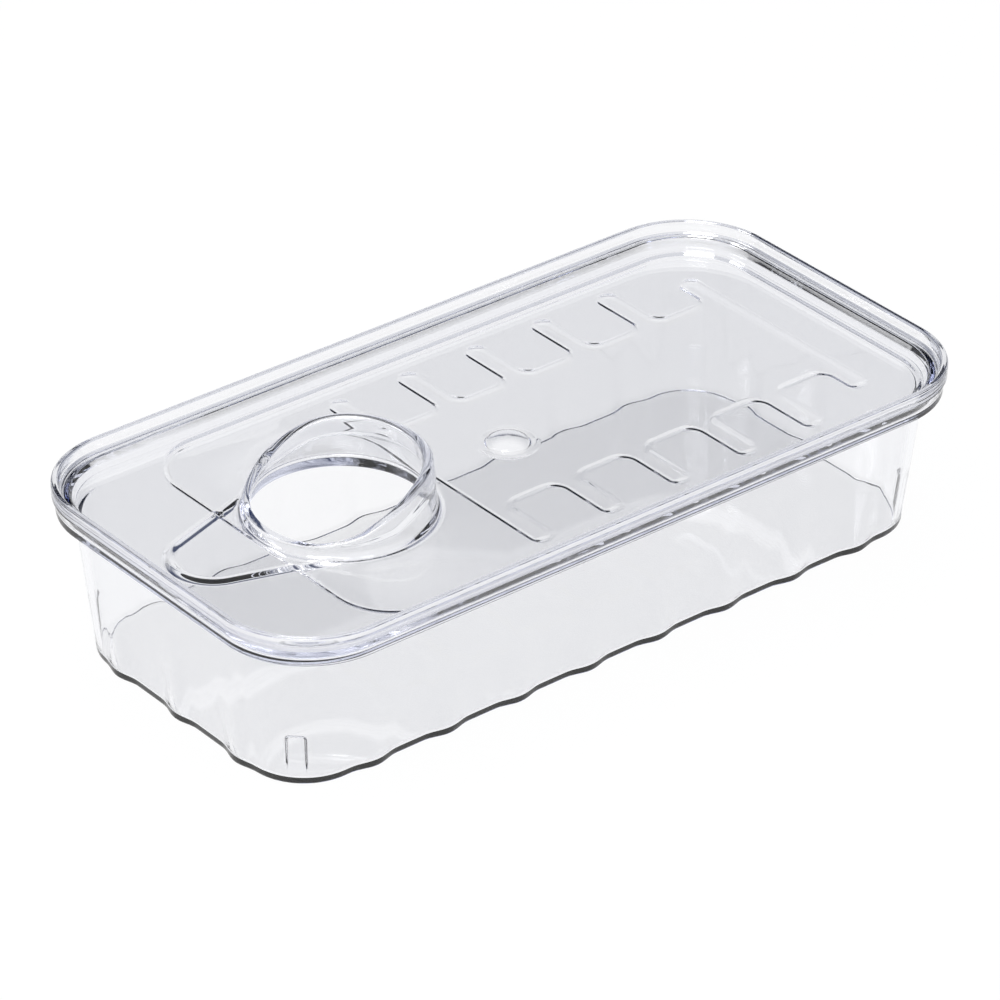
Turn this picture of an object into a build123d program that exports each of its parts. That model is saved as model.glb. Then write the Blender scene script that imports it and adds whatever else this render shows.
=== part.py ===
"""Clear moulded tray with a stepped lift-off lid and a hooded filling collar.

Frame: millimetres, +X along the tray's length, +Z up, origin at the middle of the footprint on the
surface that the tray stands on. The collar is at the -X end of the lid.
"""

from build123d import *
from math import atan, degrees, radians, sin, tan
import os

# Lid outline and levels
lid_length = 240.0
lid_width = 121.0
lid_corner = 27.0
lid_top = 51.2
lip_height = 4.0
lip_top_width = 1.8
lip_root_width = 2.7
ledge_depth = 3.4
ledge_inner_inset = 4.8
panel_depth = 6.8
panel_inset = 6.5
lid_wall = 1.8
lip_round = 0.6
plug_chamfer = 1.5

# Sunken zone and comb-shaped channel of the lid's panel
zone_depth = 0.8
zone_start = -84.0
zone_corner = 17.0
zone_margin = 1.8
comb_depth = 0.8
finger_start = -24.0
finger_pitch = 23.75
finger_count = 6
finger_width = 4.8
finger_tip_share = 0.88
finger_reach = 44.5
last_finger_reach = 36.5
channel_half_width = 24.0
bay_corner = 5.0
gate_radius = 6.0
gate_height = 2.0
comb_under_grow = 0.6

# Filling collar and thumb tongue, moulded in one with the lid
collar_x = -57.0
collar_radius = 25.7
collar_top_radius = 24.0
collar_wall = 2.0
collar_high = 59.1
collar_low = 46.8
collar_flare = 3.0
rim_curve = [(-0.72, 0.08), (0.0, 0.63), (0.66, 0.984)]  # (share of radius, share of rise)
tongue_x = -98.0
tongue_radius = 13.0
tongue_height = 1.4
tongue_rim = 2.8
tongue_round = 0.6

# Tray
rim_inset = 1.0
rim_wall = 2.0
rim_height = 4.7
shoulder_drop = 3.0
shoulder_inset = 6.0
plug_gap = 0.35
floor_length = 221.2
floor_width = 97.8
floor_corner = 17.0
wall_draft = 6.3
tray_wall = 2.0
floor_round = 4.0
least_round = 1.0

# Flutes pressed outwards along the foot of the tray's walls
flute_pitch = 24.0
flute_count = 8
end_flute_pitch = 26.0
end_flute_count = 3
flute_radius = 9.0
flute_bulge = 1.45
flute_height = 27.0
flute_sink = 0.3

# Short upright ribs inside the corners
rib_width = 4.9
rib_height = 14.0
rib_depth = 1.0
rib_corner = 1.1

# How far cutting and joining shapes run past the faces they meet
clearance = 2.0
overlap = 0.5


def rounded(length, width, corner, z):
    """Rounded rectangle centred on the frame at height z."""
    return Pos(0, 0, z) * RectangleRounded(length, width, corner)


def lid_outline(inset, z):
    """The lid's outline moved inwards by inset."""
    return rounded(lid_length - 2 * inset, lid_width - 2 * inset, lid_corner - inset, z)


def tapered(low_inset, low_z, high_inset, high_z):
    """Block between two lid outlines, for walls with draft."""
    rise = high_z - low_z
    angle = degrees(atan((low_inset - high_inset) / rise))
    return extrude(lid_outline(low_inset, low_z), amount=rise, taper=-angle)


lip_bottom = lid_top - lip_height
ledge_top = lid_top - ledge_depth
panel_top = lid_top - panel_depth
panel_under = panel_top - lid_wall
zone_top = panel_top - zone_depth
comb_top = zone_top - comb_depth
plug_inset = rim_inset + rim_wall + plug_gap
rim_bottom = lip_bottom - rim_height
wall_lean = tan(radians(wall_draft))
collar_lean = (collar_radius - collar_top_radius) / (collar_high - panel_top)
comb_start = finger_start - finger_width / 2
comb_end = finger_start + (finger_count - 1) * finger_pitch + finger_width / 2


def zone_outline(inset):
    """Sunken zone of the panel: everything beyond the collar's end strip."""
    edge = panel_inset + zone_margin + inset
    end = lid_length / 2 - edge
    start = zone_start + inset
    shape = Pos((start + end) / 2, 0, 0) * Rectangle(end - start, lid_width - 2 * edge)
    corners = shape.vertices().group_by(Axis.X)
    shape = fillet(corners[0], zone_corner)
    return fillet(shape.vertices().group_by(Axis.X)[-1], lid_corner - edge)


def comb_outline(grow=0.0):
    """Central channel with fingers towards both long sides."""
    reach = finger_reach + grow
    length = comb_end - comb_start + 2 * grow
    middle = (comb_start + comb_end) / 2
    shape = Pos(middle, 0, 0) * Rectangle(length, 2 * reach)
    bay_width = finger_pitch - finger_width - 2 * grow
    bay_depth = 2 * (reach - channel_half_width - grow)
    for index in range(finger_count - 1):
        x = finger_start + (index + 0.5) * finger_pitch
        for side in (-1, 1):
            shape -= Pos(x, side * reach, 0) * RectangleRounded(bay_width, bay_depth, bay_corner)
    short = last_finger_reach + grow
    last_x = finger_start + (finger_count - 1) * finger_pitch
    for side in (-1, 1):
        y = side * (short + reach) / 2
        shape -= Pos(last_x, y, 0) * Rectangle(finger_width + 2 * grow + overlap, reach - short)
    tips = [v for v in shape.vertices() if abs(v.Y) > short - overlap]
    return fillet(tips, finger_tip_share * finger_width / 2)


def collar_ring():
    """Conical collar with a flared foot, before its slanted rim is cut."""
    top = collar_high + clearance
    foot = zone_top

    def radius(z):
        return collar_radius - (z - panel_top) * collar_lean

    profile = Polyline(
        (radius(foot) - collar_wall, foot - lid_wall),
        (radius(foot), foot - lid_wall),
        (radius(foot), foot),
        (radius(foot) + collar_flare, foot),
        (radius(foot + collar_flare), foot + collar_flare),
        (radius(top), top),
        (radius(top) - collar_wall, top),
        close=True,
    )
    return Pos(collar_x, 0, 0) * revolve(make_face(Plane.XZ * profile), Axis.Z)


def collar_waste():
    """What is cut away above the collar's rim: low over the tongue, high at the far side."""
    reach = collar_radius + collar_flare + clearance
    left = collar_x - reach
    right = collar_x + reach
    rise = collar_high - collar_low
    middle = [(collar_x + across * collar_radius, collar_low + up * rise) for across, up in rim_curve]
    rim = Spline((left, collar_low), *middle, (right, collar_high), tangents=[(1, 0), (1, 0)])
    above = collar_high + 2 * clearance
    over = Polyline((right, collar_high), (right, above), (left, above), (left, collar_low))
    face = make_face(Plane.XZ * (rim + over))
    return extrude(face, amount=reach, both=True)


def collar_bore():
    """The collar's open middle, right through the panel."""
    low = comb_top - 2 * lid_wall
    high = collar_high + clearance
    low_radius = collar_radius - collar_wall - (low - panel_top) * collar_lean
    high_radius = collar_radius - collar_wall - (high - panel_top) * collar_lean
    height = high - low
    cone = Cone(low_radius, high_radius, height, align=(Align.CENTER, Align.CENTER, Align.MIN))
    return Pos(collar_x, 0, low) * cone


def tongue_outline(inset):
    """Teardrop: tangents from the collar's foot to a small rounded end, moved inwards by inset."""
    big = Pos(collar_x, 0, 0) * Circle(collar_radius - inset)
    small = Pos(tongue_x, 0, 0) * Circle(tongue_radius - inset)
    return make_hull((big.edges() + small.edges()))


def tongue():
    """Raised rim of the thumb tongue, round the level panel inside it."""
    height = tongue_height + zone_depth
    plate = extrude(Pos(0, 0, zone_top) * tongue_outline(0), amount=height)
    plate = fillet(plate.faces().sort_by(Axis.Z)[-1].edges(), tongue_round)
    return plate - extrude(Pos(0, 0, zone_top) * tongue_outline(tongue_rim), amount=height)


def make_lid():
    lip = extrude(lid_outline(0, lip_bottom), amount=lip_height)
    lip = fillet(lip.faces().sort_by(Axis.Z)[-1].edges(), lip_round)
    plug = extrude(lid_outline(plug_inset, panel_under), amount=lip_bottom - panel_under)
    plug = chamfer(plug.faces().sort_by(Axis.Z)[0].edges(), plug_chamfer)
    lid = lip + plug
    lid -= tapered(lip_root_width, ledge_top, lip_top_width, lid_top)
    lid -= tapered(panel_inset, panel_top, ledge_inner_inset, ledge_top)
    zone_under = Pos(0, 0, zone_top - lid_wall) * zone_outline(lid_wall)
    lid += extrude(zone_under, amount=lid_wall)
    lid -= extrude(Pos(0, 0, zone_top) * zone_outline(0), amount=panel_depth)
    comb_under = Pos(0, 0, comb_top - lid_wall) * comb_outline(comb_under_grow)
    lid += extrude(comb_under, amount=lid_wall)
    lid -= extrude(Pos(0, 0, comb_top) * comb_outline(), amount=panel_depth)
    gate_sphere = (gate_radius**2 + gate_height**2) / (2 * gate_height)
    dome = Pos(0, 0, comb_top + gate_height - gate_sphere) * Sphere(gate_sphere)
    dome &= Pos(0, 0, comb_top - overlap) * Cylinder(
        gate_radius, gate_height + 2 * overlap, align=(Align.CENTER, Align.CENTER, Align.MIN)
    )
    lid += dome
    lid += tongue()
    lid += collar_ring() - collar_waste()
    lid -= collar_bore()
    return lid


def flute(shrink):
    """One flute: a round pilaster that bulges at its foot and sinks into the leaning wall higher up."""
    radius = flute_radius - shrink
    round_foot = max(floor_round - shrink, least_round)
    top_radius = radius + flute_height * wall_lean - flute_bulge - flute_sink
    outline = Line((0, shrink), (radius - round_foot, shrink))
    corner = RadiusArc((radius - round_foot, shrink), (radius, shrink + round_foot), -round_foot)
    top = flute_height
    side = Polyline((radius, shrink + round_foot), (top_radius, top), (0, top), (0, shrink))
    face = make_face(Plane.XZ * (outline + corner + side))
    return revolve(face, Axis.Z)


def flute_places():
    """Flute axes along both long walls and both end walls."""
    reach = flute_radius - flute_bulge
    y = floor_width / 2 - reach
    x = floor_length / 2 - reach
    for index in range(flute_count):
        along = (index - (flute_count - 1) / 2) * flute_pitch
        yield along, y
        yield along, -y
    for index in range(end_flute_count):
        along = (index - (end_flute_count - 1) / 2) * end_flute_pitch
        yield x, along
        yield -x, along


def wall_body(shrink, low, high):
    """Drafted body of the tray between two heights, moved inwards by shrink."""
    grow = low * wall_lean - shrink
    outline = rounded(floor_length + 2 * grow, floor_width + 2 * grow, floor_corner + grow, low)
    body = extrude(outline, amount=high - low, taper=-wall_draft)
    foot = max(floor_round - shrink, least_round)
    return fillet(body.faces().sort_by(Axis.Z)[0].edges(), foot)


def corner_rib(sign_x, sign_y):
    """Upright rib on the inner face of one rounded corner."""
    centre_x = floor_length / 2 - floor_corner
    centre_y = floor_width / 2 - floor_corner
    low = tray_wall / 2
    inner = floor_corner - tray_wall + low * wall_lean
    upright = (Align.MIN, Align.CENTER, Align.MIN)
    block = Box(rib_depth + tray_wall / 2, rib_width, rib_height, align=upright)
    block = fillet(block.edges().filter_by(Axis.X).group_by(Axis.Z)[-1], rib_corner)
    turn = {(1, 1): 45, (-1, 1): 135, (-1, -1): 225, (1, -1): 315}[(sign_x, sign_y)]
    place = Pos(sign_x * centre_x, sign_y * centre_y, low) * Rot(0, 0, turn)
    return place * Pos(inner - rib_depth, 0, 0) * Rot(0, wall_draft, 0) * block


def rim_block(shrink, low, high):
    """Upstand of the rim with its sloping shoulder underneath, moved inwards by shrink."""
    slope = degrees(atan((shoulder_inset - rim_inset) / shoulder_drop))
    shoulder = extrude(lid_outline(rim_inset + shrink, low), amount=-shoulder_drop, taper=slope)
    return shoulder + extrude(lid_outline(rim_inset + shrink, low), amount=high - low)


def make_tray():
    slope = atan((shoulder_inset - rim_inset) / shoulder_drop)
    inner_rise = tray_wall / sin(slope) - rim_wall / tan(slope)
    outer = wall_body(0, 0, rim_bottom)
    inner = wall_body(tray_wall, tray_wall, rim_bottom)
    for x, y in flute_places():
        outer += Pos(x, y, 0) * flute(0)
        inner += Pos(x, y, 0) * flute(tray_wall)
    tray = outer + rim_block(0, rim_bottom, lip_bottom)
    tray -= inner + rim_block(rim_wall, rim_bottom + inner_rise, lip_bottom + clearance)
    for sign_x in (-1, 1):
        for sign_y in (-1, 1):
            tray += corner_rib(sign_x, sign_y)
    return tray


os.makedirs("parts", exist_ok=True)
pieces = {"tray": make_tray(), "lid": make_lid()}
for name, piece in pieces.items():
    solids = piece.solids()
    print(name, "solids", len(solids), "volume", round(sum(s.volume for s in solids)))
    export_step(Compound(children=list(solids)) if len(solids) > 1 else solids[0], f"parts/{name}.step")
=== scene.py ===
import bpy
import bmesh
from math import atan2, cos, hypot, pi, radians, sin, sqrt, tan
from mathutils import Matrix, Vector
from mathutils.geometry import delaunay_2d_cdt


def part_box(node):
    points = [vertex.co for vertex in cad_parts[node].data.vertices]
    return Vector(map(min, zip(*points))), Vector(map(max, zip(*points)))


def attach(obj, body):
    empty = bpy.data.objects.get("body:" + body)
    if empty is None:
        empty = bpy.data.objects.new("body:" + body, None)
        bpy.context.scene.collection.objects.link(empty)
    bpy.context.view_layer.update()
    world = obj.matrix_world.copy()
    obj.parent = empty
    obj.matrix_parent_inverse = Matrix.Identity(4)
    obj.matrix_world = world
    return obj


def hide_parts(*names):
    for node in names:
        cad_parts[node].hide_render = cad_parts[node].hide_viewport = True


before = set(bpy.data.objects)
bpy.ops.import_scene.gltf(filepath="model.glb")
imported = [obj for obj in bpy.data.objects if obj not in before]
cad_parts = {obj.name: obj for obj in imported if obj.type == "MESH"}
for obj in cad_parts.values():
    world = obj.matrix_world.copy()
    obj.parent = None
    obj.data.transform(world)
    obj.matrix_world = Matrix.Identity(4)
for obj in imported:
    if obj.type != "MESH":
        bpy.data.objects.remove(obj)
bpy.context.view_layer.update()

mm = 0.001
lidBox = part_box("lid")
lidHalfLength = lidBox[1][0] / mm
lidHalfWidth = lidBox[1][1] / mm
print("frame loaded, lid", round(2 * lidHalfLength, 1), "x", round(2 * lidHalfWidth, 1), "mm")

# the plastic, shared by both pieces
clearPlastic = {
    "ior": 1.57,
    "tint": (0.958, 0.96, 0.966),
    "clearTint": (0.976, 0.977, 0.981),
    "depthColour": (0.4, 0.47, 0.82),
    "depthDensity": 9.0,
    "polish": 0.012,                  # roughness where the mould was polished
    "haze": 0.05,                     # roughness in the faint cloudy patches
    "cloudScale": 22.0,
    "flowScale": 38.0,                # waviness left by the flow of the plastic
    "flowStretch": (0.45, 1.0, 1.0),  # the flow runs along the mould
    "flowDepth": 0.00022,
    "flowStrength": 0.1,
}


def clearMaterial(name, seed):
    # moulded clear styrene: slight flow waviness, cloudy patches, cool depth colour
    look = clearPlastic
    mat = bpy.data.materials.new(name)
    mat.use_nodes = True
    nodes, links = mat.node_tree.nodes, mat.node_tree.links
    nodes.clear()
    out = nodes.new("ShaderNodeOutputMaterial")
    plastic = nodes.new("ShaderNodeBsdfPrincipled")
    plastic.inputs["Transmission Weight"].default_value = 1.0
    plastic.inputs["IOR"].default_value = look["ior"]
    coords = nodes.new("ShaderNodeTexCoord")
    place = nodes.new("ShaderNodeMapping")
    place.inputs["Location"].default_value = (seed, seed * 0.37, 0.0)
    links.new(coords.outputs["Object"], place.inputs["Vector"])

    cloud = nodes.new("ShaderNodeTexNoise")
    cloud.inputs["Scale"].default_value = look["cloudScale"]
    cloud.inputs["Detail"].default_value = 3.0
    links.new(place.outputs["Vector"], cloud.inputs["Vector"])
    hazeRange = nodes.new("ShaderNodeMapRange")
    hazeRange.inputs["From Min"].default_value = 0.52
    hazeRange.inputs["From Max"].default_value = 0.8
    hazeRange.inputs["To Min"].default_value = look["polish"]
    hazeRange.inputs["To Max"].default_value = look["haze"]
    links.new(cloud.outputs["Fac"], hazeRange.inputs["Value"])
    links.new(hazeRange.outputs["Result"], plastic.inputs["Roughness"])

    tintRamp = nodes.new("ShaderNodeValToRGB")
    tintRamp.color_ramp.elements[0].color = (*look["tint"], 1.0)
    tintRamp.color_ramp.elements[1].color = (*look["clearTint"], 1.0)
    links.new(cloud.outputs["Fac"], tintRamp.inputs["Fac"])
    links.new(tintRamp.outputs["Color"], plastic.inputs["Base Color"])

    stretch = nodes.new("ShaderNodeMapping")
    stretch.inputs["Scale"].default_value = look["flowStretch"]
    links.new(place.outputs["Vector"], stretch.inputs["Vector"])
    flow = nodes.new("ShaderNodeTexNoise")
    flow.inputs["Scale"].default_value = look["flowScale"]
    flow.inputs["Detail"].default_value = 1.5
    flow.inputs["Distortion"].default_value = 0.8
    links.new(stretch.outputs["Vector"], flow.inputs["Vector"])
    bump = nodes.new("ShaderNodeBump")
    bump.inputs["Strength"].default_value = look["flowStrength"]
    bump.inputs["Distance"].default_value = look["flowDepth"]
    links.new(flow.outputs["Fac"], bump.inputs["Height"])
    links.new(bump.outputs["Normal"], plastic.inputs["Normal"])

    depth = nodes.new("ShaderNodeVolumeAbsorption")
    depth.inputs["Color"].default_value = (*look["depthColour"], 1.0)
    depth.inputs["Density"].default_value = look["depthDensity"]
    links.new(depth.outputs["Volume"], out.inputs["Volume"])

    # light passes through the clear walls to what lies behind them
    rays = nodes.new("ShaderNodeLightPath")
    through = nodes.new("ShaderNodeBsdfTransparent")
    mix = nodes.new("ShaderNodeMixShader")
    links.new(rays.outputs["Is Shadow Ray"], mix.inputs["Fac"])
    links.new(plastic.outputs["BSDF"], mix.inputs[1])
    links.new(through.outputs["BSDF"], mix.inputs[2])
    links.new(mix.outputs["Shader"], out.inputs["Surface"])
    return mat


def softCorners(points, trims, steps=5):
    # rounds each corner of a section line; points may have any number of coordinates
    line = [points[0]]
    for before, corner, after, trim in zip(points, points[1:], points[2:], trims):
        start = moveTowards(corner, before, trim)
        end = moveTowards(corner, after, trim)
        for step in range(steps + 1):
            t = step / steps
            line.append(tuple((1 - t) ** 2 * a + 2 * t * (1 - t) * c + t * t * b
                              for a, c, b in zip(start, corner, end)))
    line.append(points[-1])
    return line


def moveTowards(start, end, distance):
    gap = sqrt(sum((b - a) ** 2 for a, b in zip(start, end)))
    return tuple(a + (b - a) * distance / gap for a, b in zip(start, end))


def divide(line, spacing):
    # adds points so that no span of the line is longer than spacing
    result = [line[0]]
    for a, b in zip(line, line[1:]):
        gap = sqrt(sum((q - p) ** 2 for p, q in zip(a, b)))
        count = max(1, round(gap / spacing))
        result += [tuple(p + (q - p) * k / count for p, q in zip(a, b)) for k in range(1, count + 1)]
    return result


def cornerTurns(radius, steps, fineHalf=0.0, fineStep=0.3):
    # angles through a quarter turn, closer together at its middle where a rib stands
    if not fineHalf:
        return [k / steps * pi / 2 for k in range(steps + 1)]
    fine = fineHalf / radius
    count = round(2 * fineHalf / fineStep)
    middle = [pi / 4 - fine + 2 * fine * k / count for k in range(count + 1)]
    side = [k / steps * (pi / 4 - fine) for k in range(steps)]
    return side + middle + [pi / 2 - a for a in reversed(side)]


def roundedLoop(halfLength, halfWidth, corner, turns, sideSteps, endSteps):
    # anticlockwise rounded rectangle, always with the same number of points
    loop = []
    centres = [(1, 1), (-1, 1), (-1, -1), (1, -1)]
    for quarter, (sx, sy) in enumerate(centres):
        cx, cy = sx * (halfLength - corner), sy * (halfWidth - corner)
        start = quarter * pi / 2
        loop += [(cx + corner * cos(start + a), cy + corner * sin(start + a)) for a in turns]
        nx, ny = centres[(quarter + 1) % 4]
        ex = nx * (halfLength - corner) + corner * cos(start + pi / 2)
        ey = ny * (halfWidth - corner) + corner * sin(start + pi / 2)
        count = sideSteps if quarter % 2 == 0 else endSteps
        px, py = loop[-1]
        loop += [(px + (ex - px) * k / count, py + (ey - py) * k / count) for k in range(1, count)]
    return loop


def mathNode(tree, operation, *values):
    node = tree.nodes.new("ShaderNodeMath")
    node.operation = operation
    for slot, value in zip(node.inputs, values):
        if isinstance(value, (int, float)):
            slot.default_value = value
        else:
            tree.links.new(value, slot)
    return node.outputs[0]


def nodeTree(name, sizes):
    # geometry tree with named size inputs and a material input
    tree = bpy.data.node_groups.new(name, "GeometryNodeTree")
    tree.interface.new_socket(name="Geometry", in_out="INPUT", socket_type="NodeSocketGeometry")
    for size, value in sizes.items():
        made = tree.interface.new_socket(name=size, in_out="INPUT", socket_type="NodeSocketFloat")
        made.default_value = value
    tree.interface.new_socket(name="Material", in_out="INPUT", socket_type="NodeSocketMaterial")
    tree.interface.new_socket(name="Geometry", in_out="OUTPUT", socket_type="NodeSocketGeometry")
    start = tree.nodes.new("NodeGroupInput")
    return tree, start


def endTree(tree, start, geometry):
    realize = tree.nodes.new("GeometryNodeRealizeInstances")
    paint = tree.nodes.new("GeometryNodeSetMaterial")
    end = tree.nodes.new("NodeGroupOutput")
    tree.links.new(geometry, realize.inputs[0])
    tree.links.new(realize.outputs[0], paint.inputs["Geometry"])
    tree.links.new(start.outputs["Material"], paint.inputs["Material"])
    tree.links.new(paint.outputs[0], end.inputs[0])


def bakeTree(obj, tree, sizes, material):
    # runs the tree on the object and keeps the result as a plain mesh
    modifier = obj.modifiers.new(tree.name, "NODES")
    modifier.node_group = tree
    for item in tree.interface.items_tree:
        if item.item_type == "SOCKET" and item.in_out == "INPUT":
            if item.name in sizes:
                modifier[item.identifier] = sizes[item.name]
            elif item.name == "Material":
                modifier[item.identifier] = material
    obj.update_tag()
    ready = obj.evaluated_get(bpy.context.evaluated_depsgraph_get())
    mesh = bpy.data.meshes.new_from_object(ready)
    obj.modifiers.clear()
    obj.data = mesh
    return mesh


def addObject(name, mesh):
    obj = bpy.data.objects.new(name, mesh)
    bpy.context.scene.collection.objects.link(obj)
    return obj


def finishPiece(obj, bm, material):
    # closes the shell, turns its faces outwards and reports
    bmesh.ops.remove_doubles(bm, verts=bm.verts, dist=0.002 * mm)
    bmesh.ops.dissolve_degenerate(bm, edges=bm.edges, dist=0.001 * mm)
    bmesh.ops.delete(bm, geom=[e for e in bm.edges if not e.link_faces], context="EDGES")
    bmesh.ops.recalc_face_normals(bm, faces=bm.faces)
    open_ = sum(1 for e in bm.edges if len(e.link_faces) != 2)
    if bm.calc_volume(signed=True) < 0:
        bmesh.ops.reverse_faces(bm, faces=bm.faces)
    print(obj.name, "faces", len(bm.faces), "open edges", open_,
          "volume cm3", round(bm.calc_volume() * 1e6, 1))
    bm.to_mesh(obj.data)
    bm.free()
    obj.data.materials.clear()
    obj.data.materials.append(material)
    obj.data.polygons.foreach_set("use_smooth", [True] * len(obj.data.polygons))
    obj.data.update()


# the tray, in millimetres and degrees
tray = {
    "floorLength": 221.2, "floorWidth": 97.8, "floorCorner": 17.0,
    "draft": 6.3, "wall": 2.0, "floor": 1.3, "footRound": 1.0, "innerFoot": 1.2,
    "shoulderLow": 39.5, "shoulderWall": 1.2, "rimLow": 42.5, "rimTop": 47.12,
    "rimInset": 1.0, "rimWall": 2.0, "rimInner": 43.63, "lidCorner": 27.0,
    "floorReach": 14.0,                   # how far the floor's outer strip runs in from the wall
    "rowStep": 1.9, "sideSteps": 150, "endSteps": 50, "turnSteps": 9,
}
# the flutes and corner ribs, as inputs of the tree that presses them
flutes = {
    "Side pitch": 24.0 * mm, "Side count": 8.0, "End pitch": 26.0 * mm, "End count": 3.0,
    "Flute width": 15.0 * mm, "Bulge": 1.5 * mm, "Height": 27.0 * mm,
    "Fade start": 11.0 * mm, "Fade end": 3.6 * mm,
    "Rib width": 4.9 * mm, "Rib top": 15.0 * mm, "Rib foot": 2.2 * mm, "Rib full": 6.0 * mm,
    "Rib corner": 1.1 * mm, "Rib depth": 1.0 * mm, "Rib edge": 0.28 * mm,
    "Half length": tray["floorLength"] / 2 * mm, "Half width": tray["floorWidth"] / 2 * mm,
    "Corner": tray["floorCorner"] * mm, "Lean": tan(radians(tray["draft"])),
}


def traySection():
    # section of the tray: (outward at ends, outward at sides, corner growth, height)
    t = tray
    lean = tan(radians(t["draft"]))
    insetX = lidHalfLength - t["floorLength"] / 2
    insetY = lidHalfWidth - t["floorWidth"] / 2
    insetC = t["lidCorner"] - t["floorCorner"]

    def even(out, z):
        return (out, out, out, z)

    def fromLid(inset, z):
        return (insetX - inset, insetY - inset, insetC - inset, z)

    wallIn = t["wall"] / cos(radians(t["draft"]))
    low, innerEnd = t["shoulderLow"], t["shoulderLow"] + t["shoulderWall"]
    rimIn = t["rimInset"] + t["rimWall"]
    return softCorners([
        even(-t["floorReach"], 0), even(0, 0), even(low * lean, low), fromLid(t["rimInset"], t["rimLow"]),
        fromLid(t["rimInset"], t["rimTop"]), fromLid(rimIn, t["rimTop"]), fromLid(rimIn, t["rimInner"]),
        even(innerEnd * lean - wallIn, innerEnd),
        even(t["floor"] * lean - wallIn, t["floor"]), even(-t["floorReach"], t["floor"]),
    ], [t["footRound"], 0.8, 0.4, 0.5, 0.5, 0.7, 0.8, t["innerFoot"]], steps=8)


def trayShell(material):
    # lofts the section round the tray; the inner face is marked for the ribs
    section = traySection()
    top = max(range(len(section)), key=lambda k: section[k][3])
    rows = divide(section[:top + 1], tray["rowStep"])
    innerStart = len(rows)
    rows += divide(section[top:], tray["rowStep"])[1:]
    # closer rows where the rounded tops of the ribs stand
    ribTop = flutes["Rib top"] / mm
    ribLow = ribTop - 3.4
    fine = []
    for k, (a, b) in enumerate(zip(rows, rows[1:] + rows[-1:])):
        fine.append(a)
        if k >= innerStart and ribLow < (a[3] + b[3]) / 2 < ribTop + 0.8:
            fine += [tuple(p + (q - p) * s / 6 for p, q in zip(a, b)) for s in range(1, 6)]
    turns = cornerTurns(tray["floorCorner"] - 1, tray["turnSteps"], fineHalf=4.2)
    bm = bmesh.new()
    inner = bm.verts.layers.float.new("innerFace")
    loops = []
    for k, (outX, outY, grow, z) in enumerate(fine):
        loop = roundedLoop(tray["floorLength"] / 2 + outX, tray["floorWidth"] / 2 + outY,
                           tray["floorCorner"] + grow, turns, tray["sideSteps"], tray["endSteps"])
        verts = [bm.verts.new((x * mm, y * mm, z * mm)) for x, y in loop]
        for v in verts:
            v[inner] = 1.0 if k > innerStart else 0.0
        loops.append(verts)
    for a, b in zip(loops, loops[1:]):
        for k in range(len(a)):
            n = (k + 1) % len(a)
            bm.faces.new((a[k], a[n], b[n], b[k]))
    bm.faces.new(list(reversed(loops[0])))
    bm.faces.new(loops[-1])
    mesh = bpy.data.meshes.new("clearTray")
    bm.to_mesh(mesh)
    bm.free()
    return addObject("clearTray", mesh)


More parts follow.
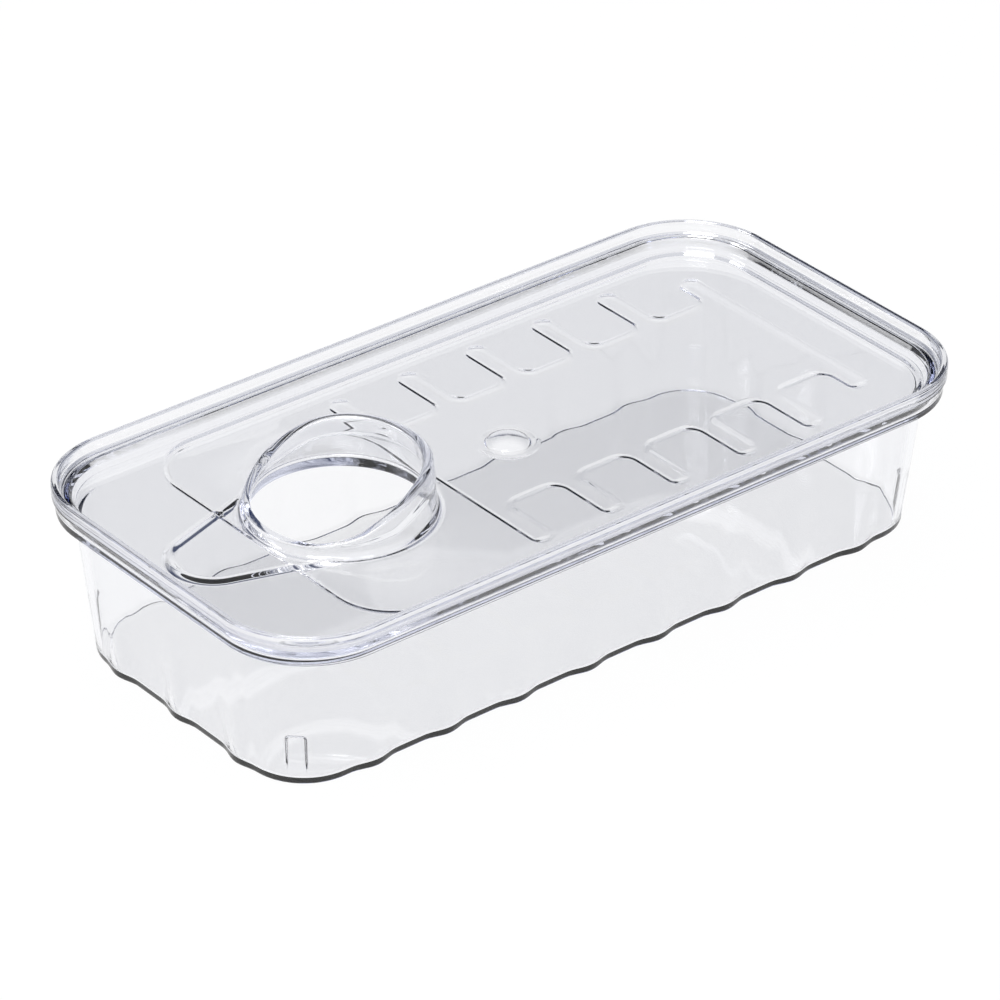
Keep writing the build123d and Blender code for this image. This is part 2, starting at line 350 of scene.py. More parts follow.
def pressTree():
    # pushes the flutes out of the walls and the short ribs into the corners
    tree, start = nodeTree("pressFlutes", flutes)
    size = {name: start.outputs[name] for name in flutes}

    def m(operation, *values):
        return mathNode(tree, operation, *values)

    position = tree.nodes.new("GeometryNodeInputPosition")
    parts = tree.nodes.new("ShaderNodeSeparateXYZ")
    tree.links.new(position.outputs[0], parts.inputs[0])
    x, y, z = parts.outputs
    growth = m("MULTIPLY", z, size["Lean"])
    overSide = m("SUBTRACT", m("SUBTRACT", m("ABSOLUTE", y), size["Half width"]), growth)
    overEnd = m("SUBTRACT", m("SUBTRACT", m("ABSOLUTE", x), size["Half length"]), growth)

    def bulge(along, over, pitch, count):
        shift = m("MULTIPLY", m("SUBTRACT", count, 1.0), 0.5)
        index = m("ROUND", m("ADD", m("DIVIDE", along, pitch), shift))
        index = m("SUBTRACT", m("MINIMUM", m("MAXIMUM", index, 0.0), m("SUBTRACT", count, 1.0)), shift)
        across = m("SUBTRACT", along, m("MULTIPLY", index, pitch))
        share = m("MINIMUM", m("DIVIDE", m("ABSOLUTE", across), size["Flute width"]), 0.5)
        wave = m("COSINE", m("MULTIPLY", share, pi))
        fade = m("MAXIMUM", m("SUBTRACT", 1.0, m("DIVIDE", z, size["Height"])), 0.0)
        rise = m("MULTIPLY", m("MULTIPLY", wave, wave), m("MULTIPLY", size["Bulge"], fade))
        near = tree.nodes.new("ShaderNodeMapRange")
        near.interpolation_type = "SMOOTHSTEP"
        tree.links.new(m("MULTIPLY", size["Fade start"], -1.0), near.inputs["From Min"])
        tree.links.new(m("MULTIPLY", size["Fade end"], -1.0), near.inputs["From Max"])
        tree.links.new(over, near.inputs["Value"])
        return m("MULTIPLY", rise, near.outputs["Result"])

    onSide = m("GREATER_THAN", overSide, overEnd)
    onEnd = m("SUBTRACT", 1.0, onSide)
    pushY = m("MULTIPLY", m("MULTIPLY", bulge(x, overSide, size["Side pitch"], size["Side count"]), onSide),
              m("SIGN", y))
    pushX = m("MULTIPLY", m("MULTIPLY", bulge(y, overEnd, size["End pitch"], size["End count"]), onEnd),
              m("SIGN", x))

    # ribs: measured round each corner from its middle
    cornerX = m("SUBTRACT", m("ABSOLUTE", x), m("SUBTRACT", size["Half length"], size["Corner"]))
    cornerY = m("SUBTRACT", m("ABSOLUTE", y), m("SUBTRACT", size["Half width"], size["Corner"]))
    reach = m("SQRT", m("ADD", m("MULTIPLY", cornerX, cornerX), m("MULTIPLY", cornerY, cornerY)))
    turn = m("SUBTRACT", m("ARCTAN2", cornerY, cornerX), pi / 4)
    around = m("MULTIPLY", turn, reach)
    flatHalf = m("SUBTRACT", m("MULTIPLY", size["Rib width"], 0.5), size["Rib corner"])
    beside = m("MAXIMUM", m("SUBTRACT", m("ABSOLUTE", around), flatHalf), 0.0)
    above = m("MAXIMUM", m("SUBTRACT", z, m("SUBTRACT", size["Rib top"], size["Rib corner"])), 0.0)
    away = m("SQRT", m("ADD", m("MULTIPLY", beside, beside), m("MULTIPLY", above, above)))
    away = m("SUBTRACT", away, size["Rib corner"])
    edge = tree.nodes.new("ShaderNodeMapRange")
    edge.interpolation_type = "SMOOTHSTEP"
    tree.links.new(away, edge.inputs["Value"])
    tree.links.new(size["Rib edge"], edge.inputs["From Min"])
    tree.links.new(m("MULTIPLY", size["Rib edge"], -1.0), edge.inputs["From Max"])
    lowFade = tree.nodes.new("ShaderNodeMapRange")
    lowFade.interpolation_type = "SMOOTHSTEP"
    tree.links.new(size["Rib foot"], lowFade.inputs["From Min"])
    tree.links.new(size["Rib full"], lowFade.inputs["From Max"])
    tree.links.new(z, lowFade.inputs["Value"])
    innerFace = tree.nodes.new("GeometryNodeInputNamedAttribute")
    innerFace.data_type = "FLOAT"
    innerFace.inputs["Name"].default_value = "innerFace"
    inCorner = m("MULTIPLY", m("GREATER_THAN", cornerX, 0.0), m("GREATER_THAN", cornerY, 0.0))
    stand = m("MULTIPLY", m("MULTIPLY", edge.outputs["Result"], lowFade.outputs["Result"]),
              m("MULTIPLY", innerFace.outputs["Attribute"], inCorner))
    stand = m("MULTIPLY", stand, size["Rib depth"])
    ribX = m("MULTIPLY", m("MULTIPLY", m("DIVIDE", cornerX, reach), stand), m("SIGN", x))
    ribY = m("MULTIPLY", m("MULTIPLY", m("DIVIDE", cornerY, reach), stand), m("SIGN", y))

    offset = tree.nodes.new("ShaderNodeCombineXYZ")
    tree.links.new(m("SUBTRACT", pushX, ribX), offset.inputs["X"])
    tree.links.new(m("SUBTRACT", pushY, ribY), offset.inputs["Y"])
    move = tree.nodes.new("GeometryNodeSetPosition")
    tree.links.new(start.outputs["Geometry"], move.inputs["Geometry"])
    tree.links.new(offset.outputs[0], move.inputs["Offset"])
    endTree(tree, start, move.outputs[0])
    return tree


trayMaterial = clearMaterial("clearTrayPlastic", 3.0)
trayObject = trayShell(trayMaterial)
bakeTree(trayObject, pressTree(), flutes, trayMaterial)
trayMesh = bmesh.new()
trayMesh.from_mesh(trayObject.data)
finishPiece(trayObject, trayMesh, trayMaterial)
print("tray made, flutes and ribs pressed")


# the lid, in millimetres
lid = {
    "top": 51.2, "lipLow": 47.2, "corner": 27.0,
    "lipTopWidth": 1.8, "lipRootWidth": 2.7, "ledge": 47.8, "ledgeInset": 4.8,
    "plugChamfer": 1.5, "turnSteps": 26, "sideSteps": 40, "endSteps": 14,
    "panel": 44.4, "panelInset": 6.5, "wall": 1.8, "plugInset": 3.35,
    "zoneStart": -84.0, "zoneCorner": 17.0, "zoneDepth": 0.65, "zoneInset": 8.3, "zoneSlope": 0.9,
    "underInset": 0.2, "underSlope": 1.3,
    "combDepth": 0.55, "combSlope": 1.4, "crispSlope": 0.6, "underGrow": 0.45, "underDepth": 0.25,
    "fingerStart": -24.0, "fingerPitch": 23.75, "fingerCount": 6, "fingerWidth": 4.8,
    "fingerReach": 44.5, "lastReach": 36.5, "tipShare": 0.88, "channelHalf": 24.0, "bayCorner": 5.0,
    "gateRadius": 6.0, "gateHeight": 2.0, "gateRing": 9.0, "ringDepth": 0.25,
}
# the collar and the tongue in front of it, in millimetres
collar = {
    "x": -57.0, "radius": 25.7, "wall": 2.0, "flare": 3.0, "lean": 0.134,
    "rim": [(-26.0, 46.8), (-22.0, 47.05), (-18.5, 47.8), (-11.3, 50.0), (-6.2, 52.4), (0.0, 54.8),
            (7.8, 57.4), (12.7, 58.4), (17.0, 58.85), (22.0, 59.08), (26.0, 59.1)],
    "lip": 0.95, "columns": 168, "boreEdge": 0.5, "boreTaper": 0.65,
    "band": 5.4, "bandOut": 0.5, "bandIn": 0.4,
    "tongueX": -98.0, "tongueRadius": 13.0,
    "beadHeight": 0.9, "beadOuter": 1.2, "beadTop": 0.9, "beadInner": 2.4,
}
# lines drawn across each moulded step, as shares of its half width
stepShares = (-1.0, -0.75, -0.5, -0.25, 0.0, 0.25, 0.5, 0.75, 1.0)


def ease(t):
    # 0 to 1 with level ends, for moulded steps
    t = min(max(t, 0.0), 1.0)
    return t * t * (3 - 2 * t)


def zoneReach(inset):
    # outline of the sunken zone, moved inwards: corners (x, y, radius)
    end = lidHalfLength - lid["zoneInset"] - inset
    side = lidHalfWidth - lid["zoneInset"] - inset
    start = lid["zoneStart"] + inset
    far = lid["corner"] - lid["zoneInset"] - inset
    near = lid["zoneCorner"]
    return [(end, -side, far), (end, side, far), (start, side, near), (start, -side, near)]


def zoneDistance(x, y, inset):
    # how far inside the zone's outline a point is
    end, side, far = zoneReach(inset)[1]
    start, near = lid["zoneStart"] + inset, lid["zoneCorner"]
    middle = (start + end) / 2
    radius = far if x > middle else near
    qx = abs(x - middle) - (end - start) / 2 + radius
    qy = abs(y) - side + radius
    return -(hypot(max(qx, 0), max(qy, 0)) + min(max(qx, qy), 0) - radius)


def roundedPath(corners, spacing=5.0, turnStep=9.0):
    # closed line through corners (x, y, radius) with its outward normal at each point
    path = []
    count = len(corners)
    for k, (x, y, radius) in enumerate(corners):
        px, py, _ = corners[k - 1]
        nx, ny, _ = corners[(k + 1) % count]
        inAngle = atan2(y - py, x - px)
        turn = (atan2(ny - y, nx - x) - inAngle + pi) % (2 * pi) - pi
        trim = abs(radius * tan(turn / 2))
        sx, sy = x - trim * cos(inAngle), y - trim * sin(inAngle)
        steps = max(2, round(abs(turn) / radians(turnStep)))
        side = 1 if turn > 0 else -1
        cx, cy = sx - side * radius * sin(inAngle), sy + side * radius * cos(inAngle)
        for step in range(steps + 1):
            a = inAngle + turn * step / steps
            path.append((cx + side * radius * sin(a), cy - side * radius * cos(a), sin(a), -cos(a)))
    result = []
    for k, a in enumerate(path):
        b = path[(k + 1) % len(path)]
        gap = hypot(b[0] - a[0], b[1] - a[1])
        pieces = max(1, round(gap / spacing))
        for step in range(pieces):
            t = step / pieces
            result.append((a[0] + (b[0] - a[0]) * t, a[1] + (b[1] - a[1]) * t, a[2], a[3])
                          if step else a)
    return result


def combCorners(grow):
    # the channel with its fingers towards both long sides
    half = lid["fingerWidth"] / 2 + grow
    tip, bay, channel = half * lid["tipShare"], lid["bayCorner"] - grow, lid["channelHalf"] + grow
    upper = []
    for index in reversed(range(lid["fingerCount"])):
        x = lid["fingerStart"] + index * lid["fingerPitch"]
        last = index == lid["fingerCount"] - 1
        reach = (lid["lastReach"] if last else lid["fingerReach"]) + grow
        if not last:
            upper.append((x + half, channel, bay))
        upper += [(x + half, reach, tip), (x - half, reach, tip)]
        if index:
            upper.append((x - half, channel, bay))
    lower = [(x, -y, r) for x, y, r in reversed(upper)]
    return upper + lower


def rimHeight(across):
    # height of the collar's slanted rim, smooth through the points of its line
    line = collar["rim"]
    across = min(max(across, line[0][0]), line[-1][0] - 1e-6)
    k = max(i for i in range(len(line) - 1) if line[i][0] <= across)
    (x0, z0), (x1, z1) = line[k], line[k + 1]

    def slope(i):
        a, b = line[max(i - 1, 0)], line[min(i + 1, len(line) - 1)]
        return (b[1] - a[1]) / (b[0] - a[0])

    t, gap = (across - x0) / (x1 - x0), x1 - x0
    return ((2 * t**3 - 3 * t**2 + 1) * z0 + (t**3 - 2 * t**2 + t) * gap * slope(k)
            + (3 * t**2 - 2 * t**3) * z1 + (t**3 - t**2) * gap * slope(k + 1))


def tongueDistance(x, y):
    # how far inside the tongue's outline a point is
    c = collar
    along, across = c["x"] - x, abs(y)
    span = c["x"] - c["tongueX"]
    narrow = (c["radius"] - c["tongueRadius"]) / span
    straight = sqrt(1 - narrow * narrow)
    toBig = along * straight - across * narrow
    if toBig <= 0:
        return c["radius"] - hypot(along, across)
    if toBig >= span * straight:
        return c["tongueRadius"] - hypot(along - span, across)
    return c["radius"] - (along * narrow + across * straight)


def panelTop(x, y):
    # height of the lid's upper face outside the channel
    z = lid["panel"] - lid["zoneDepth"] * ease(zoneDistance(x, y, 0) / (2 * lid["zoneSlope"]) + 0.5)
    inside = tongueDistance(x, y)
    bead = ease(inside / (2 * collar["beadOuter"]) + 0.5)
    bead *= 1 - ease((inside - collar["beadTop"]) / collar["beadInner"])
    z += collar["beadHeight"] * bead
    away = hypot(x - collar["x"], y) - collar["radius"]
    if away < collar["flare"]:
        foot = lid["panel"] - lid["zoneDepth"]
        drop = sqrt(max(collar["flare"] ** 2 - (collar["flare"] - away) ** 2, 0.0))
        z = max(z, foot + collar["flare"] - drop)
    return z


def panelUnder(x, y):
    # height of the lid's lower face outside the channel
    inside = zoneDistance(x, y, lid["underInset"])
    return lid["panel"] - lid["wall"] - lid["zoneDepth"] * ease(inside / (2 * lid["underSlope"]) + 0.5)


def combSlope(nx):
    # the flank of each finger nearest the collar is crisp, the others are soft
    return lid["combSlope"] + (lid["crispSlope"] - lid["combSlope"]) * ease((-nx - 0.35) / 0.6)


def offsetRow(path, out, height):
    # one line of a moulded step, out from the path, each point with its height
    points = [(x + nx * out, y + ny * out) for x, y, nx, ny in path]
    return [(x, y, height(x, y)) for x, y in points]


def zoneStep(inset, slope, height):
    # the lines of the step round the sunken zone
    path = roundedPath(zoneReach(inset), spacing=3.0, turnStep=5.0)
    return [offsetRow(path, share * slope, height) for share in (-1.3, *stepShares, 1.3)]


def combStep(grow, high, low):
    # the step from high outside the channel to low inside it
    path = roundedPath(combCorners(grow))
    rows = []
    for share in (-1.25, *stepShares, 1.25):
        height = low + (high - low) * ease((share + 1) / 2)
        row = []
        for x, y, nx, ny in path:
            out = share * combSlope(nx)
            row.append((x + nx * out, y + ny * out, height))
        rows.append(row)
    return rows


def circleRow(x, radius, columns, height):
    # one round line; height is a number or a rule for each point
    row = []
    for k in range(columns):
        a = 2 * pi * k / columns
        px, py = x + radius * cos(a), radius * sin(a)
        row.append((px, py, height if isinstance(height, (int, float)) else height(px, py)))
    return row


def tongueRows():
    # lines along the tongue's edge, each ending against the collar's foot
    c = collar
    narrow = (c["radius"] - c["tongueRadius"]) / (c["x"] - c["tongueX"])
    straight = sqrt(1 - narrow * narrow)
    turn = atan2(straight, -narrow)               # direction of the edge's upper normal
    sideSteps, tipSteps = 24, 40
    rows = []
    outs = [share * c["beadOuter"] for share in (-1.0, -0.8, -0.55, -0.3, 0.0, 0.3, 0.55, 0.8, 1.0, 1.3)]
    innerShares = (0.0, 0.17, 0.34, 0.5, 0.66, 0.83, 1.0, 1.15)
    outs += [-c["beadTop"] - share * c["beadInner"] for share in innerShares]
    for out in outs:
        big, small = c["radius"] + out, c["tongueRadius"] + out
        clear = sqrt(max((c["radius"] + 0.2) ** 2 - big**2, 0.0))
        edge = []
        for side in (1, -1):
            nx, ny = cos(turn), side * sin(turn)
            tx, ty = -abs(ny), side * nx            # along the edge, towards the tip
            start = (c["x"] + big * nx + clear * tx, big * ny + clear * ty)
            end = (c["tongueX"] + small * nx, small * ny)
            edge.append([tuple(p + (q - p) * k / sideSteps for p, q in zip(start, end))
                         for k in range(sideSteps + 1)])
        tip = []
        for k in range(1, tipSteps):
            a = turn + (2 * pi - 2 * turn) * k / tipSteps
            tip.append((c["tongueX"] + small * cos(a), small * sin(a)))
        line = edge[0] + tip + list(reversed(edge[1]))
        rows.append([(x, y, panelTop(x, y)) for x, y in line])
    return rows


def skin(bm, outer, hole, closedRows, openRows, height, holeCentre, holeRadius):
    # fills between the outline, the moulded lines and the hole with flat-lying triangles
    points, heights, edges = [], [], []

    def addRow(row, closed):
        first = len(points)
        for x, y, z in row:
            points.append(Vector((x, y)))
            heights.append(z)
        last = len(points) - 1
        edges.extend((k, k + 1) for k in range(first, last))
        if closed:
            edges.append((last, first))

    for row in [outer, hole] + closedRows:
        addRow(row, True)
    for row in openRows:
        addRow(row, False)
    addRow([(holeCentre, 0.0, 0.0)], False)
    verts, _, faces, origin, _, _ = delaunay_2d_cdt(points, edges, [], 0, 1e-5)
    made = []
    for v, source in zip(verts, origin):
        z = heights[source[0]] if source else height(v.x, v.y)
        made.append(bm.verts.new((v.x * mm, v.y * mm, z * mm)))
    edgeCount = len(outer)
    for face in faces:
        cx = sum(verts[k].x for k in face) / len(face) - holeCentre
        cy = sum(verts[k].y for k in face) / len(face)
        a, b, c = (verts[k] for k in face)
        flat = abs((b - a).cross(c - a)) < 0.02
        onOutline = all(origin[k] and origin[k][0] < edgeCount for k in face)
        if hypot(cx, cy) > holeRadius * 0.9 and not (flat and onOutline):
            bm.faces.new([made[k] for k in face])


def lidSection():
    # rim section as (inwards, height), from the panel's edge over the lip to the underside
    s = lid
    under, chamfer = s["panel"] - s["wall"], s["plugChamfer"]
    return softCorners([
        (s["panelInset"] + 0.26, s["panel"]), (s["panelInset"], s["panel"]),
        (s["ledgeInset"], s["ledge"]), (s["lipRootWidth"], s["ledge"]), (s["lipTopWidth"], s["top"]),
        (0.0, s["top"]), (0.0, s["lipLow"]), (s["plugInset"], s["lipLow"]),
        (s["plugInset"], under + chamfer), (s["plugInset"] + chamfer, under),
        (s["plugInset"] + chamfer + 0.8, under),
    ], [0.25, 0.5, 0.35, 0.6, 0.75, 0.4, 0.25, 0.5, 0.5], steps=6)


def sweepTree(section):
    # sweeps the rim section round the lid's outline
    tree, start = nodeTree("sweepRim", {"Scale": 1.0})
    path = tree.nodes.new("GeometryNodeMeshToCurve")
    upright = tree.nodes.new("GeometryNodeSetCurveNormal")
    upright.mode = "Z_UP"
    profile = tree.nodes.new("GeometryNodeObjectInfo")
    profile.inputs["Object"].default_value = section
    profileLine = tree.nodes.new("GeometryNodeMeshToCurve")
    sweep = tree.nodes.new("GeometryNodeCurveToMesh")
    tree.links.new(start.outputs["Geometry"], path.inputs["Mesh"])
    tree.links.new(path.outputs[0], upright.inputs["Curve"])
    tree.links.new(profile.outputs["Geometry"], profileLine.inputs["Mesh"])
    tree.links.new(upright.outputs[0], sweep.inputs["Curve"])
    tree.links.new(profileLine.outputs[0], sweep.inputs["Profile Curve"])
    if "Scale" in sweep.inputs:
        tree.links.new(start.outputs["Scale"], sweep.inputs["Scale"])
    endTree(tree, start, sweep.outputs[0])
    return tree


def lineMesh(name, points, closed):
    # a mesh of joined edges only, for a sweep
    mesh = bpy.data.meshes.new(name)
    count = len(points)
    mesh.from_pydata(points, [(k, (k + 1) % count) for k in range(count if closed else count - 1)], [])
    return mesh


def sweptRim(material):
    # the lid's rim, swept from its section; the panel is filled in later
    turns = cornerTurns(lid["corner"], lid["turnSteps"])
    loop = roundedLoop(lidHalfLength, lidHalfWidth, lid["corner"], turns,
                       lid["sideSteps"], lid["endSteps"])
    rim = addObject("clearLid", lineMesh("lidOutline", [(x * mm, y * mm, 0.0) for x, y in loop], True))
    line = [(-inset * mm, -z * mm, 0.0) for inset, z in lidSection()]
    section = addObject("rimSection", lineMesh("rimSection", line, False))
    bakeTree(rim, sweepTree(section), {"Scale": 1.0}, material)
    bpy.data.objects.remove(section)
    return rim


def openLoops(bm):
    # the open edge loops of the swept rim, as lists of (x, y, z) in millimetres
    bm.edges.index_update()
    loops, left = [], {e.index: e for e in bm.edges if len(e.link_faces) == 1}
    while left:
        edge = left.pop(min(left))
        loop = [edge.verts[0], edge.verts[1]]
        while True:
            step = next((e for e in loop[-1].link_edges if e.index in left), None)
            if step is None:
                break
            del left[step.index]
            loop.append(step.other_vert(loop[-1]))
        if loop[0] is loop[-1]:
            loop.pop()
        loops.append([tuple(c / mm for c in v.co) for v in loop])
    return loops


def bandRows(low, high, band):
    # heights up a wall with a thicker band at its top, each with its share of the band
    start = high - band
    rows = [(low + (start - low) * t / 5, 0.0) for t in range(1, 6)]
    rows += [(start + 0.16 * band * t / 6, ease(t / 6)) for t in range(1, 7)]
    rows += [(start + band * (0.16 + 0.84 * t / 5), 1.0) for t in range(1, 6)]
    return rows


def collarWall(bm, footRow, baseRow):
    # the collar from its foot over the slanted rim and down the bore to the underside
    c = collar
    bend, columns = c["boreEdge"], len(footRow)
    footTop = lid["panel"] - lid["zoneDepth"] + c["flare"]
    grid = []
    for k in range(columns):
        a = 2 * pi * k / columns
        fz = footRow[k][2]
        bx, by, bz = baseRow[k]
        top = rimHeight(c["radius"] * cos(a))
        lip = min(c["lip"], (top - fz) * 0.9)
        height = top - lip - fz
        band = min(c["band"], 0.8 * height)
        strength = ease(height / 4)                # the band runs out where the wall is low
        outer = [(c["radius"], fz)]
        for z, thick in bandRows(fz, fz + height, band):
            outer.append((c["radius"] - (z - footTop) * c["lean"] + c["bandOut"] * strength * thick, z))
        shoulder = outer[-1][0]
        throat = c["radius"] - (fz + height - footTop) * c["lean"] - c["wall"] - c["bandIn"] * strength
        half = (shoulder - throat) / 2
        over = [(shoulder - half + half * cos(pi * t / 10), top - lip + lip * sin(pi * t / 10))
                for t in range(1, 10)]
        baseRadius = hypot(bx - c["x"], by)
        bore, low = baseRadius - bend, bz + bend
        inner = []
        for z, thick in reversed(bandRows(low, fz + height, band)):
            share = (z - low) / (fz + height - low)
            wallRadius = bore + (throat + c["bandIn"] * strength - bore) * share
            inner.append((wallRadius - c["bandIn"] * strength * thick, z))
        inner.append((bore, low))
        edge = [(baseRadius - bend * cos(pi * t / 8), low - bend * sin(pi * t / 8)) for t in range(1, 5)]
        column = outer + over + inner + edge
        grid.append([bm.verts.new(((c["x"] + r * cos(a)) * mm, r * sin(a) * mm, z * mm))
                     for r, z in column])
    for k in range(columns):
        a, b = grid[k], grid[(k + 1) % columns]
        for j in range(len(a) - 1):
            bm.faces.new((a[j], b[j], b[j + 1], a[j + 1]))


def flareLines():
    # round lines up the hollow flare where the collar stands on the panel
    rows = [circleRow(collar["x"], collar["radius"] + collar["flare"] + 0.25, collar["columns"], panelTop)]
    for degree in (0, 12, 24, 36, 48, 60, 72, 82):
        away = collar["flare"] * (1 - sin(radians(degree)))
        rows.append(circleRow(collar["x"], collar["radius"] + away, collar["columns"], panelTop))
    for gap in (3.7, 4.3):
        rows.append(circleRow(collar["x"], collar["radius"] + gap, collar["columns"], panelTop))
    return rows


def gateLines(base):
    # the round gate mark at the panel's middle: a dome with a shallow ring round it
    rows = []
    for share in (0.1, 0.2, 0.32, 0.44, 0.56, 0.67, 0.77, 0.86, 0.93, 0.98):
        rows.append((share * lid["gateRadius"], base + lid["gateHeight"] * (1 - share * share) ** 0.75))
    for share in (0.0, 0.15, 0.35, 0.6, 0.85, 1.0):
        radius = lid["gateRadius"] + (lid["gateRing"] - lid["gateRadius"]) * share
        rows.append((radius, base - lid["ringDepth"] * sin(pi * ease(share)) ** 2))
    return [circleRow(0.0, radius, 64, z) for radius, z in rows]


lidMaterial = clearMaterial("clearLidPlastic", 11.0)
lidObject = sweptRim(lidMaterial)
lidMesh = bmesh.new()
lidMesh.from_mesh(lidObject.data)
rimLoops = sorted(openLoops(lidMesh), key=lambda loop: loop[0][2])
underLoop, topLoop = rimLoops[0], rimLoops[-1]
print("rim swept, open loops", [(len(loop), round(loop[0][2], 2)) for loop in rimLoops])

zoneTop = lid["panel"] - lid["zoneDepth"]
combTop = zoneTop - lid["combDepth"]
footRow = circleRow(collar["x"], collar["radius"], collar["columns"], panelTop)
topRows = flareLines() + zoneStep(0, lid["zoneSlope"], panelTop) + combStep(0, zoneTop, combTop)
skin(lidMesh, topLoop, footRow, topRows + gateLines(combTop), tongueRows(), panelTop,
     collar["x"], collar["radius"])

zoneUnder = zoneTop - lid["wall"]
combUnder = zoneUnder - lid["underDepth"]
baseRadius = collar["radius"] - collar["wall"] + collar["boreTaper"] + collar["boreEdge"]
baseRow = circleRow(collar["x"], baseRadius, collar["columns"], panelUnder)
underRows = zoneStep(lid["underInset"], lid["underSlope"], panelUnder)
underRows += combStep(lid["underGrow"], zoneUnder, combUnder)
skin(lidMesh, underLoop, baseRow, underRows + gateLines(combUnder), [], panelUnder, collar["x"], baseRadius)
collarWall(lidMesh, footRow, baseRow)
finishPiece(lidObject, lidMesh, lidMaterial)
print("lid made with its channel, tongue and collar")


# each piece rides with the body that it replaces
for piece, body, slotName in ((trayObject, "tray", "clear_tray"), (lidObject, "lid", "clear_lid")):
    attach(piece, body)
    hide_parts(body)


# floor, sky and lamps; sky bands are set by the height of the direction, 0 level and 1 straight up
studio = {
    "floorSize": 6.0,
    "floorGlow": 0.95,
    "floorColour": (0.05, 0.05, 0.05),
    "skyTop": (1.0, 1.0, 1.02),
    "skyLow": (0.035, 0.05, 0.11),
    "skyRim": (0.8, 0.81, 0.84),
    "skyFront": (0.72, 0.73, 0.76),
    "backdrop": (0.93, 0.935, 0.95),
    "rimEnd": 0.28, "lowStart": 0.43, "lowEnd": 0.6, "topStart": 0.86,
    "darkSide": (0.63, 0.77, 0.0), "darkFrom": -0.15, "darkFull": 0.45,
    "keyPower": 6.0, "keySize": 0.7, "keyPlace": (-0.55, -0.35, 0.95),
    "fillPower": 3.0, "fillSize": 0.5, "fillPlace": (-0.9, 0.55, 0.7),
}


def paleFloor():
    # pale paper that glows evenly, just under the tray
    mesh = bpy.data.meshes.new("studioFloor")
    half = studio["floorSize"] / 2
    low = -0.3 * mm
    mesh.from_pydata([(-half, -half, low), (half, -half, low), (half, half, low), (-half, half, low)], [],
                     [(0, 1, 2, 3)])
    floor = addObject("studioFloor", mesh)
    mat = bpy.data.materials.new("palePaper")
    mat.use_nodes = True
    paper = mat.node_tree.nodes["Principled BSDF"]
    paper.inputs["Base Color"].default_value = (*studio["floorColour"], 1.0)
    paper.inputs["Roughness"].default_value = 0.95
    paper.inputs["Specular IOR Level"].default_value = 0.1
    paper.inputs["Emission Color"].default_value = (1.0, 1.0, 1.0, 1.0)
    paper.inputs["Emission Strength"].default_value = studio["floorGlow"]
    mesh.materials.append(mat)


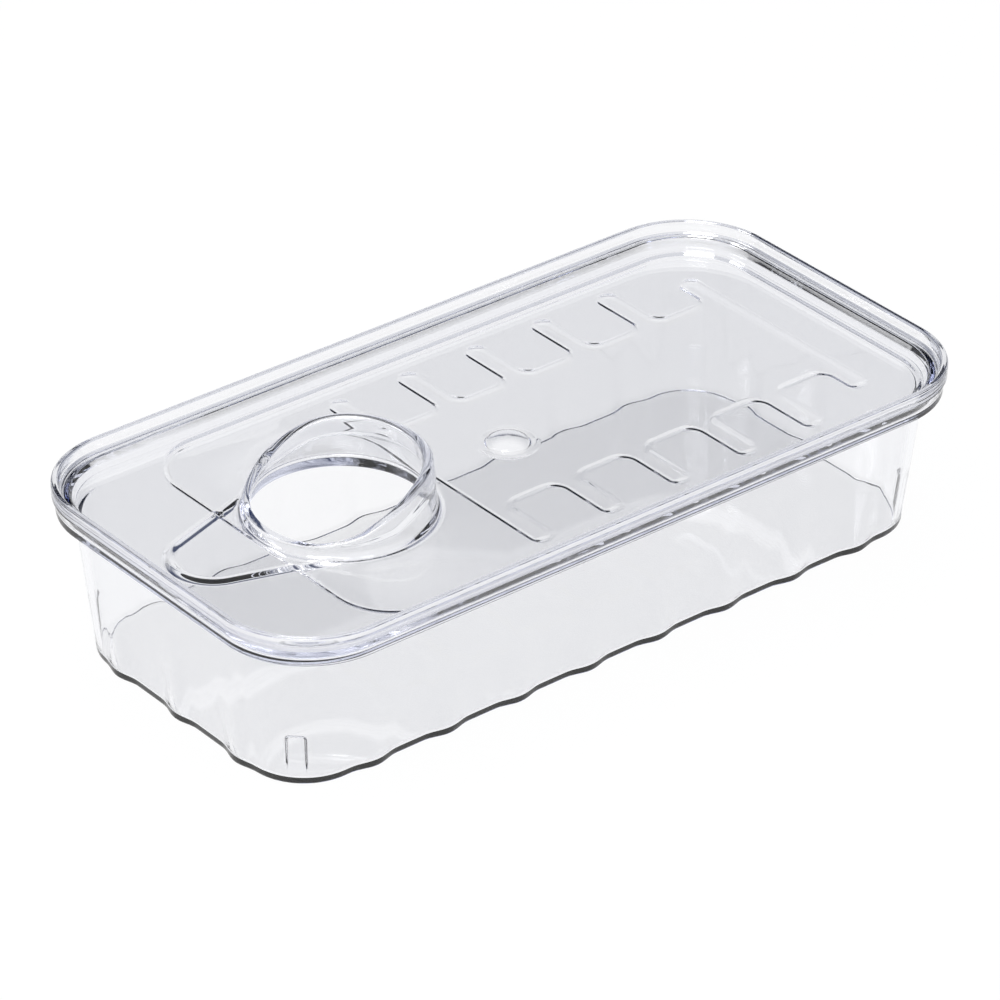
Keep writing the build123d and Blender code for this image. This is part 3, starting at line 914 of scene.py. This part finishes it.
def softSky():
    # bright above and at the horizon, with a dark blue band between them on the far side
    world = bpy.data.worlds.new("softSky")
    bpy.context.scene.world = world
    world.use_nodes = True
    nodes, links = world.node_tree.nodes, world.node_tree.links
    back = nodes["Background"]
    coords = nodes.new("ShaderNodeTexCoord")
    parts = nodes.new("ShaderNodeSeparateXYZ")
    ramp = nodes.new("ShaderNodeValToRGB")
    links.new(coords.outputs["Generated"], parts.inputs[0])
    links.new(parts.outputs["Z"], ramp.inputs["Fac"])
    ramp.color_ramp.elements[0].position = 0.0
    ramp.color_ramp.elements[0].color = (*studio["skyRim"], 1.0)
    ramp.color_ramp.elements[1].position = studio["topStart"]
    ramp.color_ramp.elements[1].color = (*studio["skyTop"], 1.0)
    for place, name in (("rimEnd", "skyRim"), ("lowStart", "skyLow"), ("lowEnd", "skyLow")):
        ramp.color_ramp.elements.new(studio[place]).color = (*studio[name], 1.0)
    # the side that the light comes from stays bright down to the floor
    facing = nodes.new("ShaderNodeVectorMath")
    facing.operation = "DOT_PRODUCT"
    facing.inputs[1].default_value = studio["darkSide"]
    links.new(coords.outputs["Generated"], facing.inputs[0])
    side = nodes.new("ShaderNodeMapRange")
    side.interpolation_type = "SMOOTHSTEP"
    side.inputs["From Min"].default_value = studio["darkFrom"]
    side.inputs["From Max"].default_value = studio["darkFull"]
    links.new(facing.outputs["Value"], side.inputs["Value"])
    sides = nodes.new("ShaderNodeMixRGB")
    sides.inputs["Color1"].default_value = (*studio["skyFront"], 1.0)
    links.new(side.outputs["Result"], sides.inputs["Fac"])
    links.new(ramp.outputs["Color"], sides.inputs["Color2"])
    pale = nodes.new("ShaderNodeMixRGB")
    rays = nodes.new("ShaderNodeLightPath")
    pale.inputs["Color2"].default_value = (*studio["backdrop"], 1.0)
    links.new(rays.outputs["Is Camera Ray"], pale.inputs["Fac"])
    links.new(sides.outputs["Color"], pale.inputs["Color1"])
    links.new(pale.outputs["Color"], back.inputs["Color"])


def softLight(name, place, size, power):
    # a round lamp turned towards the middle of the frame
    data = bpy.data.lights.new(name, "AREA")
    data.shape = "DISK"
    data.size = size
    data.energy = power
    lamp = bpy.data.objects.new(name, data)
    bpy.context.scene.collection.objects.link(lamp)
    lamp.location = place
    lamp.rotation_euler = (-Vector(place)).to_track_quat("-Z", "Y").to_euler()


cameraPlace = {
    "azimuth": -39.39, "elevation": 31.21, "roll": 0.41, "distance": 1.44125,
    "aim": (-0.02928, -0.03255, 0.0512), "lens": 198.68,
}


def addCamera():
    # a long lens that looks down on the collar end
    spot = cameraPlace
    a, e, roll = radians(spot["azimuth"]), radians(spot["elevation"]), radians(spot["roll"])
    back = Vector((sin(a) * cos(e), -cos(a) * cos(e), sin(e)))
    right = Vector((cos(a), sin(a), 0.0))
    up = back.cross(right)
    right, up = right * cos(roll) + up * sin(roll), up * cos(roll) - right * sin(roll)
    data = bpy.data.cameras.new("productCamera")
    data.lens = spot["lens"]
    data.sensor_width = 36.0
    data.clip_start, data.clip_end = 0.05, 20.0
    camera = bpy.data.objects.new("productCamera", data)
    bpy.context.scene.collection.objects.link(camera)
    turn = Matrix((right, up, back)).transposed()
    camera.matrix_world = Matrix.Translation(Vector(spot["aim"]) + back * spot["distance"]) @ turn.to_4x4()
    bpy.context.scene.camera = camera


paleFloor()
softSky()
softLight("keyLight", studio["keyPlace"], studio["keySize"], studio["keyPower"])
softLight("fillLight", studio["fillPlace"], studio["fillSize"], studio["fillPower"])
addCamera()
scene = bpy.context.scene
scene.view_settings.view_transform = "Standard"
scene.cycles.max_bounces = 28
scene.cycles.transmission_bounces = 28
scene.cycles.glossy_bounces = 12
scene.cycles.transparent_max_bounces = 24
scene.cycles.caustics_refractive = False
scene.cycles.caustics_reflective = False
print("floor, light and camera set")
